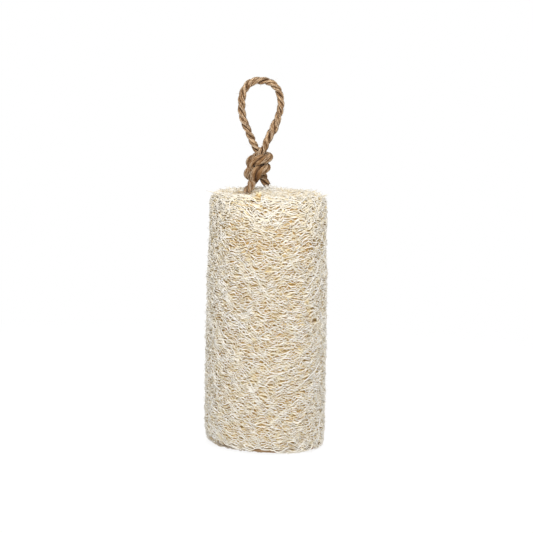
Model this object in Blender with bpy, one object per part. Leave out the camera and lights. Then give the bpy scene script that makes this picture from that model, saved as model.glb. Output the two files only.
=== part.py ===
"""A natural loofah sponge standing on its cut end, with a knotted jute cord to hang it by.

The sponge is one grown piece. The cord is one doubled length of jute: its bight stands up as a
loop, an overhand knot lies under the loop, and its two legs run down into the top of the sponge.
Units are metres, +Z is up, and the origin is the middle of the sponge's flat base.
"""
import math

import bmesh
import bpy
from mathutils import Matrix, Vector

# Driving dimensions of the sponge
SPONGE_HEIGHT = 0.150
BASE_RADIUS = 0.0352
TOP_RADIUS = 0.0337
WAIST_BULGE = 0.0010
FOOT_EDGE_RADIUS = 0.003
CROWN_EDGE_RADIUS = 0.005
CROWN_RISE = 0.0012
TOP_LEAN = -0.0020
RIB_COUNT = 8
RIB_DEPTH = 0.0003
OUTLINE_DRIFT = 0.0004

# Fineness of the sponge's mesh
SIDES_ROUND = 48
SIDE_LEVELS = 12
EDGE_LEVELS = 4
CROWN_RINGS = 4

# Driving dimensions of the cord
CORD_DIAMETER = 0.0039
CLEARANCE = 0.0003
POINT_SPACING = 2.0 * CORD_DIAMETER

# Routes of the cord's centreline in millimetres, read along the cord
LOOP_ROUTE_MM = [
    (-9.7, 0.0, 172.6), (-10.6, 0.0, 176.0), (-12.2, 0.2, 180.2), (-14.6, 0.4, 185.2),
    (-17.1, 0.6, 190.6), (-18.6, 0.7, 195.8), (-19.1, 0.8, 202.4), (-18.0, 0.8, 208.8),
    (-14.3, 0.8, 213.6), (-8.4, 0.6, 215.0), (-2.4, 0.4, 214.1), (2.0, 0.2, 209.9),
    (3.9, 0.0, 203.2), (3.4, -0.2, 197.0), (1.2, -0.3, 190.0), (-0.6, -0.3, 185.6),
    (-3.2, -0.2, 180.4), (-4.6, 0.0, 176.0), (-5.0, 0.0, 172.6),
]
LEFT_LEG_ROUTE_MM = [
    (-9.0, -1.2, 160.4), (-9.7, -2.4, 157.9), (-11.6, -5.2, 154.4), (-14.3, -8.6, 150.3),
    (-15.8, -10.4, 145.8), (-16.3, -11.0, 138.5),
]
RIGHT_LEG_ROUTE_MM = [
    (-4.6, 1.2, 160.8), (-4.3, 1.6, 158.6), (-2.7, 2.9, 155.2), (-0.8, 4.4, 151.2),
    (0.5, 5.4, 146.6), (1.0, 5.8, 139.5),
]

# The knot: two slanting turns of doubled cord round a filled middle
KNOT_CENTRE = Vector((-0.0073, 0.0, 0.1658))
KNOT_CORE_RADII = (0.0056, 0.0052, 0.0080)
TURN_CORD_RADIUS = 0.0031
TURN_RADIUS = 0.0043
TURN_FLATTENING = 0.85
UPPER_TURN_OFFSET = Vector((0.0009, 0.0, 0.0026))
LOWER_TURN_OFFSET = Vector((-0.0010, 0.0, -0.0035))
TURN_SLANT = math.radians(-23.0)

MILLIMETRE = 0.001


def clear_scene():
    """Remove everything that the file opened with."""
    for old in list(bpy.data.objects):
        bpy.data.objects.remove(old, do_unlink=True)


def plain_material(name, colour, roughness):
    """Make a matt Principled material."""
    material = bpy.data.materials.new(name)
    material.use_nodes = True
    shader = material.node_tree.nodes["Principled BSDF"]
    shader.inputs["Base Color"].default_value = (*colour, 1.0)
    shader.inputs["Roughness"].default_value = roughness
    shader.inputs["Metallic"].default_value = 0.0
    return material


def mesh_object(name, bm, material):
    """Turn a bmesh into a named, smoothly shaded object with its material."""
    bmesh.ops.recalc_face_normals(bm, faces=bm.faces)
    mesh = bpy.data.meshes.new(name)
    bm.to_mesh(mesh)
    bm.free()
    mesh.materials.append(material)
    mesh.shade_smooth()
    mesh.set_sharp_from_angle(angle=math.radians(40.0))
    made = bpy.data.objects.new(name, mesh)
    bpy.context.scene.collection.objects.link(made)
    return made


def smooth_route(route_mm):
    """Read evenly spaced points off a Catmull-Rom curve through a route's own points."""
    knots = [Vector(point) * MILLIMETRE for point in route_mm]
    knots = [2 * knots[0] - knots[1], *knots, 2 * knots[-1] - knots[-2]]
    steps = 16
    fine = []
    for a, b, c, d in zip(knots, knots[1:], knots[2:], knots[3:]):
        for step in range(steps):
            t = step / steps
            fine.append(0.5 * (2 * b + (c - a) * t + (2 * a - 5 * b + 4 * c - d) * t * t
                               + (3 * b - a - 3 * c + d) * t ** 3))
    fine.append(knots[-2])
    reached = [0.0]
    for start, end in zip(fine, fine[1:]):
        reached.append(reached[-1] + (end - start).length)
    count = max(3, round(reached[-1] / POINT_SPACING)) + 1
    points = []
    piece = 0
    for index in range(count):
        wanted = reached[-1] * index / (count - 1)
        while piece < len(fine) - 2 and reached[piece + 1] < wanted:
            piece += 1
        part = (wanted - reached[piece]) / (reached[piece + 1] - reached[piece])
        points.append(fine[piece].lerp(fine[piece + 1], part))
    return points


def cord_tube(name, route_mm, radius, material, overrun=0.0):
    """Make a round tube with filled ends along a route, run on past each end by the overrun."""
    curve = bpy.data.curves.new(name, "CURVE")
    curve.dimensions = "3D"
    curve.bevel_depth = radius
    curve.bevel_resolution = 2
    curve.use_fill_caps = True
    points = smooth_route(route_mm)
    points[0] += (points[0] - points[1]).normalized() * overrun
    points[-1] += (points[-1] - points[-2]).normalized() * overrun
    spline = curve.splines.new("POLY")
    spline.points.add(len(points) - 1)
    for slot, point in zip(spline.points, points):
        slot.co = (*point, 1.0)
    spline.use_smooth = True
    curve.materials.append(material)
    tube = bpy.data.objects.new(name, curve)
    bpy.context.scene.collection.objects.link(tube)
    return tube


def socket_cutter(name, route_mm):
    """Make a hidden tube, fatter than the cord by its clearance, that cuts the cord's seat."""
    corner_allowance = math.cos(math.pi / 8)
    radius = (CORD_DIAMETER / 2 + CLEARANCE) / corner_allowance
    shape = cord_tube(name + "_shape", route_mm, radius, None, CLEARANCE)
    bpy.context.view_layer.update()
    evaluated = shape.evaluated_get(bpy.context.evaluated_depsgraph_get())
    mesh = bpy.data.meshes.new_from_object(evaluated)
    mesh.name = name
    bpy.data.objects.remove(shape, do_unlink=True)
    cutter = bpy.data.objects.new(name, mesh)
    bpy.context.scene.collection.objects.link(cutter)
    cutter.hide_render = True
    cutter.display_type = "WIRE"
    return cutter


def add_boolean(target, other, operation):
    """Join or cut the target with another solid by the exact solver."""
    modifier = target.modifiers.new(other.name, "BOOLEAN")
    modifier.operation = operation
    modifier.object = other
    modifier.solver = "EXACT"


def side_radius(angle, height_share):
    """Give the sponge's radius at an angle and a share of its height, ribs and drift included."""
    straight = BASE_RADIUS + (TOP_RADIUS - BASE_RADIUS) * height_share
    bulge = WAIST_BULGE * math.sin(math.pi * height_share)
    ribs = RIB_DEPTH * math.cos(RIB_COUNT * angle + 0.4 * math.sin(math.pi * height_share))
    drift = OUTLINE_DRIFT * math.cos(3 * angle + 1.2 + 2.0 * height_share)
    return straight + bulge + ribs + drift


def rounded_edge(radius):
    """List (height, inset) up a rounded edge, from the flat end to the side."""
    turns = [math.pi / 2 * step / EDGE_LEVELS for step in range(EDGE_LEVELS + 1)]
    return [(radius * (1 - math.cos(turn)), radius * (1 - math.sin(turn))) for turn in turns]


def sponge_levels():
    """List (height, inset) of each ring from the foot to the shoulder."""
    levels = rounded_edge(FOOT_EDGE_RADIUS)
    straight = SPONGE_HEIGHT - FOOT_EDGE_RADIUS - CROWN_EDGE_RADIUS
    for step in range(1, SIDE_LEVELS):
        levels.append((FOOT_EDGE_RADIUS + straight * step / SIDE_LEVELS, 0.0))
    for height, inset in reversed(rounded_edge(CROWN_EDGE_RADIUS)):
        levels.append((SPONGE_HEIGHT - height, inset))
    return levels


def ring_of(bm, height, inset, share, lift):
    """Add one ring of vertices, drawn in by an inset and scaled by a share of the radius."""
    ring = []
    for index in range(SIDES_ROUND):
        angle = 2 * math.pi * index / SIDES_ROUND
        radius = (side_radius(angle, height / SPONGE_HEIGHT) - inset) * share
        lean = TOP_LEAN * (height / SPONGE_HEIGHT - 0.5)
        place = (radius * math.cos(angle) + lean, radius * math.sin(angle), height + lift)
        ring.append(bm.verts.new(place))
    return ring


def bridge(bm, lower, upper):
    """Close the band between two rings with quads."""
    for index in range(SIDES_ROUND):
        following = (index + 1) % SIDES_ROUND
        bm.faces.new((lower[index], lower[following], upper[following], upper[index]))


def centre_on_base(bm):
    """Move the outline so that its box is centred over the origin."""
    for axis in (0, 1):
        values = [vertex.co[axis] for vertex in bm.verts]
        middle = (min(values) + max(values)) / 2
        for vertex in bm.verts:
            vertex.co[axis] -= middle


def make_sponge(material):
    """Build the whole sponge as one closed solid with a flat foot and a slightly domed top."""
    bm = bmesh.new()
    rings = [ring_of(bm, height, inset, 1.0, 0.0) for height, inset in sponge_levels()]
    for step in range(1, CROWN_RINGS):
        share = 1 - step / CROWN_RINGS
        rings.append(ring_of(bm, SPONGE_HEIGHT, CROWN_EDGE_RADIUS, share, CROWN_RISE * (1 - share ** 2)))
    for lower, upper in zip(rings, rings[1:]):
        bridge(bm, lower, upper)
    foot_middle = bm.verts.new((-TOP_LEAN / 2, 0.0, 0.0))
    crown_middle = bm.verts.new((TOP_LEAN / 2, 0.0, SPONGE_HEIGHT + CROWN_RISE))
    for index in range(SIDES_ROUND):
        following = (index + 1) % SIDES_ROUND
        bm.faces.new((foot_middle, rings[0][following], rings[0][index]))
        bm.faces.new((crown_middle, rings[-1][index], rings[-1][following]))
    centre_on_base(bm)
    return mesh_object("loofah_sponge", bm, material)


def make_turn(name, offset, material):
    """Build one slanting turn of the knot as a flattened ring."""
    sides_round = 20
    sides_across = 10
    bm = bmesh.new()
    rings = []
    for step in range(sides_round):
        around = 2 * math.pi * step / sides_round
        ring = []
        for side in range(sides_across):
            across = 2 * math.pi * side / sides_across
            reach = TURN_RADIUS + TURN_CORD_RADIUS * math.cos(across)
            height = TURN_CORD_RADIUS * math.sin(across)
            ring.append(bm.verts.new((reach * math.cos(around), reach * math.sin(around), height)))
        rings.append(ring)
    for step in range(sides_round):
        here = rings[step]
        there = rings[(step + 1) % sides_round]
        for side in range(sides_across):
            beside = (side + 1) % sides_across
            bm.faces.new((here[side], there[side], there[beside], here[beside]))
    flatten = Matrix.Diagonal((1.0, TURN_FLATTENING, 1.0, 1.0))
    slant = Matrix.Rotation(TURN_SLANT, 4, "Y")
    place = Matrix.Translation(KNOT_CENTRE + offset)
    bmesh.ops.transform(bm, matrix=place @ slant @ flatten, verts=bm.verts)
    turn = mesh_object(name, bm, material)
    turn.hide_render = True
    turn.display_type = "WIRE"
    return turn


def make_knot(material):
    """Build the knot's outer shape: a filled middle joined with its two turns."""
    bm = bmesh.new()
    bmesh.ops.create_uvsphere(bm, u_segments=16, v_segments=10, radius=1.0)
    grow = Matrix.Diagonal((*KNOT_CORE_RADII, 1.0))
    bmesh.ops.transform(bm, matrix=Matrix.Translation(KNOT_CENTRE) @ grow, verts=bm.verts)
    knot = mesh_object("cord_knot", bm, material)
    add_boolean(knot, make_turn("knot_upper_turn", UPPER_TURN_OFFSET, material), "UNION")
    add_boolean(knot, make_turn("knot_lower_turn", LOWER_TURN_OFFSET, material), "UNION")
    return knot


def main():
    clear_scene()
    loofah_fibre = plain_material("loofah_fibre", (0.83, 0.76, 0.62), 0.9)
    jute = plain_material("jute", (0.42, 0.27, 0.15), 0.92)
    sponge = make_sponge(loofah_fibre)
    knot = make_knot(jute)
    radius = CORD_DIAMETER / 2
    routes = {
        "hanging_loop": LOOP_ROUTE_MM,
        "cord_leg_left": LEFT_LEG_ROUTE_MM,
        "cord_leg_right": RIGHT_LEG_ROUTE_MM,
    }
    for name, route_mm in routes.items():
        cord_tube(name, route_mm, radius, jute)
        cutter = socket_cutter(name + "_seat", route_mm)
        add_boolean(knot, cutter, "DIFFERENCE")
        if name != "hanging_loop":
            add_boolean(sponge, cutter, "DIFFERENCE")


main()
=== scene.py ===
"""Looks of the natural loofah sponge: its fibre net and its knotted jute hanging cord."""
import math

import bpy
import numpy as np
from mathutils import Euler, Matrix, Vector


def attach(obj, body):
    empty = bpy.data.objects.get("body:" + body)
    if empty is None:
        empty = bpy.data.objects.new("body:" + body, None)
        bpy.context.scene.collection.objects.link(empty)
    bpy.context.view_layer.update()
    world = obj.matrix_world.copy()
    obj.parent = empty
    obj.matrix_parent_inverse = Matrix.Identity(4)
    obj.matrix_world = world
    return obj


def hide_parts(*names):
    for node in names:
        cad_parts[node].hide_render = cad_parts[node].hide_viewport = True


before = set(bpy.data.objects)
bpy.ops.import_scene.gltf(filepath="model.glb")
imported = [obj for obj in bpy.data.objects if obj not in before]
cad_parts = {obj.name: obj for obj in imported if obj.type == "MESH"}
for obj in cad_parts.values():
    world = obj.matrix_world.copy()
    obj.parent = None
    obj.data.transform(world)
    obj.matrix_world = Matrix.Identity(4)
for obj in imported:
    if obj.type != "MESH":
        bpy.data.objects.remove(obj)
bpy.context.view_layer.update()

MM = 0.001

# Sponge outline, as in the CAD solid
SPONGE_HEIGHT = 0.150
BASE_RADIUS = 0.0352
TOP_RADIUS = 0.0337
WAIST_BULGE = 0.0010
FOOT_EDGE_RADIUS = 0.003
CROWN_EDGE_RADIUS = 0.005
CROWN_RISE = 0.0012
TOP_LEAN = -0.0020
RIB_COUNT = 8
RIB_DEPTH = 0.0003
OUTLINE_DRIFT = 0.0004

# Cord, as in the CAD solids
CORD_DIAMETER = 0.0039
LOOP_ROUTE_MM = [
    (-9.7, 0.0, 172.6), (-10.6, 0.0, 176.0), (-12.2, 0.2, 180.2), (-14.6, 0.4, 185.2),
    (-17.1, 0.6, 190.6), (-18.6, 0.7, 195.8), (-19.1, 0.8, 202.4), (-18.0, 0.8, 208.8),
    (-14.3, 0.8, 213.6), (-8.4, 0.6, 215.0), (-2.4, 0.4, 214.1), (2.0, 0.2, 209.9),
    (3.9, 0.0, 203.2), (3.4, -0.2, 197.0), (1.2, -0.3, 190.0), (-0.6, -0.3, 185.6),
    (-3.2, -0.2, 180.4), (-4.6, 0.0, 176.0), (-5.0, 0.0, 172.6),
]
LEFT_LEG_ROUTE_MM = [
    (-9.0, -1.2, 160.4), (-9.7, -2.4, 157.9), (-11.6, -5.2, 154.4), (-14.3, -8.6, 150.3),
    (-15.8, -10.4, 145.8), (-16.3, -11.0, 138.5),
]
RIGHT_LEG_ROUTE_MM = [
    (-4.6, 1.2, 160.8), (-4.3, 1.6, 158.6), (-2.7, 2.9, 155.2), (-0.8, 4.4, 151.2),
    (0.5, 5.4, 146.6), (1.0, 5.8, 139.5),
]
KNOT_CENTRE_MM = (-8.6, 0.0, 166.0)

# Photograph's view
IMAGE_SIDE_PX = 533
FOCAL_PX = 2221.0
CAMERA_DISTANCE = 1.30
CAMERA_HEIGHT = 0.257
AIM_HEIGHT = 0.106
AXIS_OFFSET_PX = 2.0
CAMERA_ROLL = math.radians(2.0)


def catmull_rom(points, steps=12):
    """Return a fine smooth curve through the given points."""
    points = np.asarray(points, float)
    points = np.vstack([2 * points[0] - points[1], points, 2 * points[-1] - points[-2]])
    t = (np.arange(steps) / steps)[:, None]
    pieces = []
    for a, b, c, d in zip(points, points[1:], points[2:], points[3:]):
        pieces.append(0.5 * (2 * b + (c - a) * t + (2 * a - 5 * b + 4 * c - d) * t ** 2
                             + (3 * b - a - 3 * c + d) * t ** 3))
    pieces.append(points[-2][None])
    return np.vstack(pieces)


def even_spaced(points, count):
    """Read points off a polyline at even distances."""
    lengths = np.linalg.norm(np.diff(points, axis=0), axis=1)
    reached = np.concatenate([[0.0], np.cumsum(lengths)])
    wanted = np.linspace(0.0, reached[-1], count)
    return np.stack([np.interp(wanted, reached, points[:, axis]) for axis in range(3)], axis=1)


def route_length(points):
    """Sum a polyline's length."""
    return float(np.linalg.norm(np.diff(points, axis=0), axis=1).sum())


def unit(vectors):
    """Scale vectors to length one."""
    return vectors / np.maximum(np.linalg.norm(vectors, axis=-1, keepdims=True), 1e-12)


# Node materials

# Fibre colours by depth below the surface, painted shade: the deeper a fibre lies, the darker and more
# golden, for the shade and the warm light through the fibres in the gaps
FIBRE_SHADED_BY_DEPTH = [
    (0.0, (0.83, 0.81, 0.77)), (0.15, (0.81, 0.775, 0.70)), (0.34, (0.78, 0.69, 0.48)),
    (0.60, (0.74, 0.54, 0.24)), (1.0, (0.62, 0.41, 0.16)),
]
WARM_FIBRE_SHADED_BY_DEPTH = [
    (0.0, (0.81, 0.775, 0.70)), (0.15, (0.78, 0.72, 0.59)), (0.34, (0.75, 0.63, 0.40)),
    (0.60, (0.69, 0.47, 0.19)), (1.0, (0.54, 0.33, 0.12)),
]
SPECKLE_TAN = (0.70, 0.56, 0.36)
# Brown that the stored shade number mixes in: mostly painted shade, at the foot, near the crown, in the
# cavity and at the tuft's roots; also the brown spots on the crown beside the cord
SHADE_AND_SPOT_BROWN = (0.27, 0.165, 0.085)
# Painted shade: how much of that brown all fibres near the crown carry, to darken them where the light
# falls strongest
CROWN_SHADE = 0.09
JUTE_PALE = (0.70, 0.48, 0.28)
JUTE_MID = (0.125, 0.055, 0.016)
JUTE_RICH = (0.16, 0.074, 0.022)
JUTE_GROOVE_SHADE = (0.045, 0.017, 0.005)
HAIR_DARK = (0.11, 0.05, 0.015)
HAIR_STRAW = (0.88, 0.71, 0.51)


def set_inputs(node, values):
    """Set a node's own inputs by name."""
    for name, value in values.items():
        node.inputs[name].default_value = value


def node_material(name, specular):
    """Make a node material and return it with its tree and shader."""
    material = bpy.data.materials.new(name)
    material.use_nodes = True
    shader = material.node_tree.nodes["Principled BSDF"]
    shader.inputs["Specular IOR Level"].default_value = specular
    return material, material.node_tree, shader


def object_place(tree):
    """Return the place on the object as a vector output."""
    return tree.nodes.new("ShaderNodeTexCoord").outputs["Object"]


def attribute_output(tree, name):
    """Read a number stored on the mesh."""
    node = tree.nodes.new("ShaderNodeAttribute")
    node.attribute_name = name
    return node.outputs["Fac"]


def noise_output(tree, coordinates, scale, detail=2.0, roughness=0.5):
    """Add a noise texture and return its value output."""
    node = tree.nodes.new("ShaderNodeTexNoise")
    set_inputs(node, {"Scale": scale, "Detail": detail, "Roughness": roughness})
    tree.links.new(coordinates, node.inputs["Vector"])
    return node.outputs["Fac"]


def map_range(tree, value, low, high, to_low=0.0, to_high=1.0):
    """Remap a value output, clamped."""
    node = tree.nodes.new("ShaderNodeMapRange")
    set_inputs(node, {"From Min": low, "From Max": high, "To Min": to_low, "To Max": to_high})
    tree.links.new(value, node.inputs["Value"])
    return node.outputs["Result"]


def calculate(tree, operation, *values):
    """Combine value outputs by a mathematical operation."""
    node = tree.nodes.new("ShaderNodeMath")
    node.operation = operation
    for value, socket in zip(values, node.inputs):
        tree.links.new(value, socket)
    return node.outputs["Value"]


def mix_colour(tree, factor, first, second):
    """Mix two colours, each a node output or a tuple, by a factor output."""
    node = tree.nodes.new("ShaderNodeMix")
    node.data_type = "RGBA"
    tree.links.new(factor, node.inputs[0])
    for socket, value in ((node.inputs[6], first), (node.inputs[7], second)):
        if isinstance(value, tuple):
            socket.default_value = (*value, 1.0)
        else:
            tree.links.new(value, socket)
    return node.outputs[2]


def colour_ramp(tree, factor, stops):
    """Colour a value output by a list of positions and colours."""
    node = tree.nodes.new("ShaderNodeValToRGB")
    elements = node.color_ramp.elements
    while len(elements) < len(stops):
        elements.new(0.5)
    for element, (position, colour) in zip(elements, stops):
        element.position = position
        element.color = (*colour, 1.0)
    tree.links.new(factor, node.inputs["Fac"])
    return node.outputs["Color"]


def add_bump(tree, shader, height, strength, distance):
    """Push the shading normal by a height output."""
    bump = tree.nodes.new("ShaderNodeBump")
    set_inputs(bump, {"Strength": strength, "Distance": distance})
    tree.links.new(height, bump.inputs["Height"])
    tree.links.new(bump.outputs["Normal"], shader.inputs["Normal"])


def loofah_material():
    """Dry plant fibre: ivory outside and warmer from fibre to fibre, with painted shade that turns it
    darker and golden where it lies deep.
    """
    material, tree, shader = node_material("loofah_net", 0.3)
    place = object_place(tree)
    depth = attribute_output(tree, "depth")
    patches = noise_output(tree, place, 60.0, 3.0)
    grain = noise_output(tree, place, 1500.0, 3.0, 0.6)
    # painted shade: the colour darkens and turns golden with the stored depth
    pale = colour_ramp(tree, depth, FIBRE_SHADED_BY_DEPTH)
    warm = colour_ramp(tree, depth, WARM_FIBRE_SHADED_BY_DEPTH)
    warmth = calculate(tree, "MULTIPLY", map_range(tree, attribute_output(tree, "tone"), 0.25, 1.0),
                       map_range(tree, patches, 0.3, 0.7, 0.35, 1.0))
    clean = mix_colour(tree, warmth, pale, warm)
    # painted shade in brown, and the brown spots beside the cord
    fibre = mix_colour(tree, attribute_output(tree, "brown_and_shade"), clean, SHADE_AND_SPOT_BROWN)
    speckled = mix_colour(tree, map_range(tree, grain, 0.5, 0.8, 0.0, 0.15), fibre, SPECKLE_TAN)
    tree.links.new(speckled, shader.inputs["Base Color"])
    tree.links.new(map_range(tree, grain, 0.2, 0.8, 0.62, 0.9), shader.inputs["Roughness"])
    add_bump(tree, shader, grain, 0.35, 0.00012)
    return material


def jute_material():
    """Twisted jute: fine streaks along the lay, richer at the knot, with painted shade darkening the
    grooves.
    """
    material, tree, shader = node_material("jute_twist", 0.25)
    uv = tree.nodes.new("ShaderNodeUVMap")
    uv.uv_map = "lay"
    stretch = tree.nodes.new("ShaderNodeMapping")
    stretch.inputs["Scale"].default_value = (0.7, 4.0, 1.0)
    tree.links.new(uv.outputs["UV"], stretch.inputs["Vector"])
    streaks = noise_output(tree, stretch.outputs["Vector"], 1.6, 6.0, 0.72)
    patches = noise_output(tree, object_place(tree), 160.0)
    richness = map_range(tree, attribute_output(tree, "tone"), 0.0, 1.0, 0.0, 0.55)
    body = mix_colour(tree, map_range(tree, streaks, 0.45, 0.58), JUTE_MID, JUTE_PALE)
    blotched = mix_colour(tree, map_range(tree, patches, 0.42, 0.62, 0.0, 0.6), body, JUTE_MID)
    darker_low = mix_colour(tree, richness, blotched, JUTE_RICH)
    groove_shaded = mix_colour(tree, attribute_output(tree, "depth"), darker_low, JUTE_GROOVE_SHADE)
    tree.links.new(groove_shaded, shader.inputs["Base Color"])
    tree.links.new(map_range(tree, streaks, 0.3, 0.7, 0.95, 0.7), shader.inputs["Roughness"])
    add_bump(tree, shader, streaks, 0.9, 0.0002)
    return material


def jute_hair_material():
    """Single jute fibres, each of its own shade from brown to straw."""
    material, tree, shader = node_material("jute_hair", 0.3)
    grain = noise_output(tree, object_place(tree), 1800.0)
    shade = mix_colour(tree, attribute_output(tree, "tone"), HAIR_DARK, HAIR_STRAW)
    flecked = mix_colour(tree, map_range(tree, grain, 0.45, 0.8, 0.0, 0.5), shade, HAIR_DARK)
    tree.links.new(flecked, shader.inputs["Base Color"])
    tree.links.new(map_range(tree, grain, 0.3, 0.7, 0.55, 0.8), shader.inputs["Roughness"])
    add_bump(tree, shader, grain, 0.3, 0.0001)
    return material


# Camera, floor and light

SENSOR_WIDTH = 36.0
FLOOR_HALF = 6.0
LIGHT_SIZE = 0.5
LIGHT_AIM_HEIGHT = 0.10
# Brightness of the surroundings high up to the left and right
SIDE_LIGHT = 0.45


def place_camera():
    """Stand the camera where the photograph was taken from."""
    data = bpy.data.cameras.new("photo_camera")
    data.sensor_width = SENSOR_WIDTH
    data.lens = SENSOR_WIDTH * FOCAL_PX / IMAGE_SIDE_PX
    data.shift_x = -AXIS_OFFSET_PX / IMAGE_SIDE_PX
    camera = bpy.data.objects.new("photo_camera", data)
    bpy.context.scene.collection.objects.link(camera)
    camera.location = (0.0, -CAMERA_DISTANCE, CAMERA_HEIGHT)
    aim = Vector((0.0, 0.0, AIM_HEIGHT)) - camera.location
    turn = aim.to_track_quat("-Z", "Y").to_matrix().to_4x4()
    roll = Euler((0.0, 0.0, CAMERA_ROLL)).to_matrix().to_4x4()
    camera.rotation_euler = (turn @ roll).to_euler()
    bpy.context.scene.camera = camera


def area_light(name, location, power):
    """Add a soft square light that faces the middle of the object."""
    data = bpy.data.lights.new(name, "AREA")
    data.energy = power
    data.size = LIGHT_SIZE
    light = bpy.data.objects.new(name, data)
    bpy.context.scene.collection.objects.link(light)
    light.location = location
    aim = Vector((0.0, 0.0, LIGHT_AIM_HEIGHT)) - light.location
    light.rotation_euler = aim.to_track_quat("-Z", "Y").to_euler()


def floor_material():
    """White floor that glows: mostly plain white light even beside the object, which washes out its
    shadow there, and wholly light away from it, so that no edge shows.
    """
    material, tree, shader = node_material("studio_white", 0.0)
    set_inputs(shader, {"Base Color": (0.97, 0.97, 0.97, 1.0), "Roughness": 0.9})
    distance = tree.nodes.new("ShaderNodeVectorMath")
    distance.operation = "LENGTH"
    tree.links.new(object_place(tree), distance.inputs[0])
    glow = tree.nodes.new("ShaderNodeEmission")
    blend = tree.nodes.new("ShaderNodeMixShader")
    # glow share: 0.88 beside the object, which removes most of its shadow on the floor, up to 1.0
    # further out
    tree.links.new(map_range(tree, distance.outputs["Value"], 0.05, 0.5, 0.88, 1.0), blend.inputs["Fac"])
    tree.links.new(shader.outputs["BSDF"], blend.inputs[1])
    tree.links.new(glow.outputs["Emission"], blend.inputs[2])
    tree.links.new(blend.outputs["Shader"], tree.nodes["Material Output"].inputs["Surface"])
    return material


def white_world():
    """White surroundings that are darker high up to the left and right, as in an open studio."""
    world = bpy.data.worlds.new("white_studio")
    world.use_nodes = True
    tree = world.node_tree
    background = tree.nodes["Background"]
    background.inputs["Color"].default_value = (1.0, 1.0, 1.0, 1.0)
    split = tree.nodes.new("ShaderNodeSeparateXYZ")
    tree.links.new(tree.nodes.new("ShaderNodeTexCoord").outputs["Generated"], split.inputs["Vector"])
    aside = map_range(tree, calculate(tree, "ABSOLUTE", split.outputs["X"]), 0.35, 0.85)
    raised = map_range(tree, split.outputs["Z"], 0.13, 0.28)
    dim = calculate(tree, "MULTIPLY", aside, raised)
    tree.links.new(map_range(tree, dim, 0.0, 1.0, 1.0, SIDE_LIGHT), background.inputs["Strength"])
    return world


def build_stage():
    """Lay a white floor under white light."""
    scene = bpy.context.scene
    scene.view_settings.view_transform = "Standard"
    scene.world = white_world()
    mesh = bpy.data.meshes.new("studio_floor")
    corners = [(x * FLOOR_HALF, y * FLOOR_HALF, 0.0) for x, y in ((-1, -1), (1, -1), (1, 1), (-1, 1))]
    mesh.from_pydata(corners, [], [(0, 1, 2, 3)])
    mesh.materials.append(floor_material())
    floor = bpy.data.objects.new("studio_floor", mesh)
    scene.collection.objects.link(floor)
    area_light("front_softbox", (0.03, -0.77, 0.56), 7.5)
    area_light("back_softbox", (0.0, 0.90, 0.50), 3.0)


# Meshes made of rings of vertices

MOST_TRIANGLES = 180000


def claim(pieces, slot, *nodes):
    """Let pieces ride the part and stand for nodes of the CAD model."""
    for made in pieces:
        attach(made, "root")
        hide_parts(*nodes)


def ring_quads(rings, sides):
    """Join each of the rings of vertices, given by number, to the next one."""
    start = rings[:, None] * sides
    here = np.arange(sides)[None]
    there = (here + 1) % sides
    return np.stack([start + here, start + there, start + sides + there, start + sides + here],
                    axis=2).reshape(-1, 4)


def tube_faces(sizes, sides):
    """Return the quads and end caps of closed tubes, given how many rings each one has."""
    last = np.cumsum(sizes) - 1
    first = last - sizes + 1
    side = np.arange(sides)[None]
    caps = np.concatenate([first[:, None] * sides + side[:, ::-1], last[:, None] * sides + side])
    return ring_quads(np.setdiff1d(np.arange(last[-1]), last), sides), caps


def mesh_from_arrays(name, vertices, quads, caps, material, values, uv=None):
    """Make a smooth mesh object from vertex, quad and cap arrays with stored numbers."""
    corners = np.concatenate([quads.ravel(), caps.ravel()]).astype(np.int32)
    quad_starts = np.arange(len(quads)) * 4
    cap_starts = len(quads) * 4 + np.arange(len(caps)) * caps.shape[1]
    starts = np.concatenate([quad_starts, cap_starts]).astype(np.int32)
    mesh = bpy.data.meshes.new(name)
    mesh.vertices.add(len(vertices))
    mesh.vertices.foreach_set("co", vertices.astype(np.float32).ravel())
    mesh.loops.add(len(corners))
    mesh.loops.foreach_set("vertex_index", corners)
    mesh.polygons.add(len(starts))
    mesh.polygons.foreach_set("loop_start", starts)
    mesh.polygons.foreach_set("use_smooth", np.ones(len(starts), bool))
    mesh.update(calc_edges=True)
    for key, numbers in values.items():
        attribute = mesh.attributes.new(key, "FLOAT", "POINT")
        attribute.data.foreach_set("value", numbers.astype(np.float32))
    if uv is not None:
        layer = mesh.uv_layers.new(name="lay")
        layer.uv.foreach_set("vector", uv[corners].astype(np.float32).ravel())
    mesh.materials.append(material)
    made = bpy.data.objects.new(name, mesh)
    bpy.context.scene.collection.objects.link(made)
    return made


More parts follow.
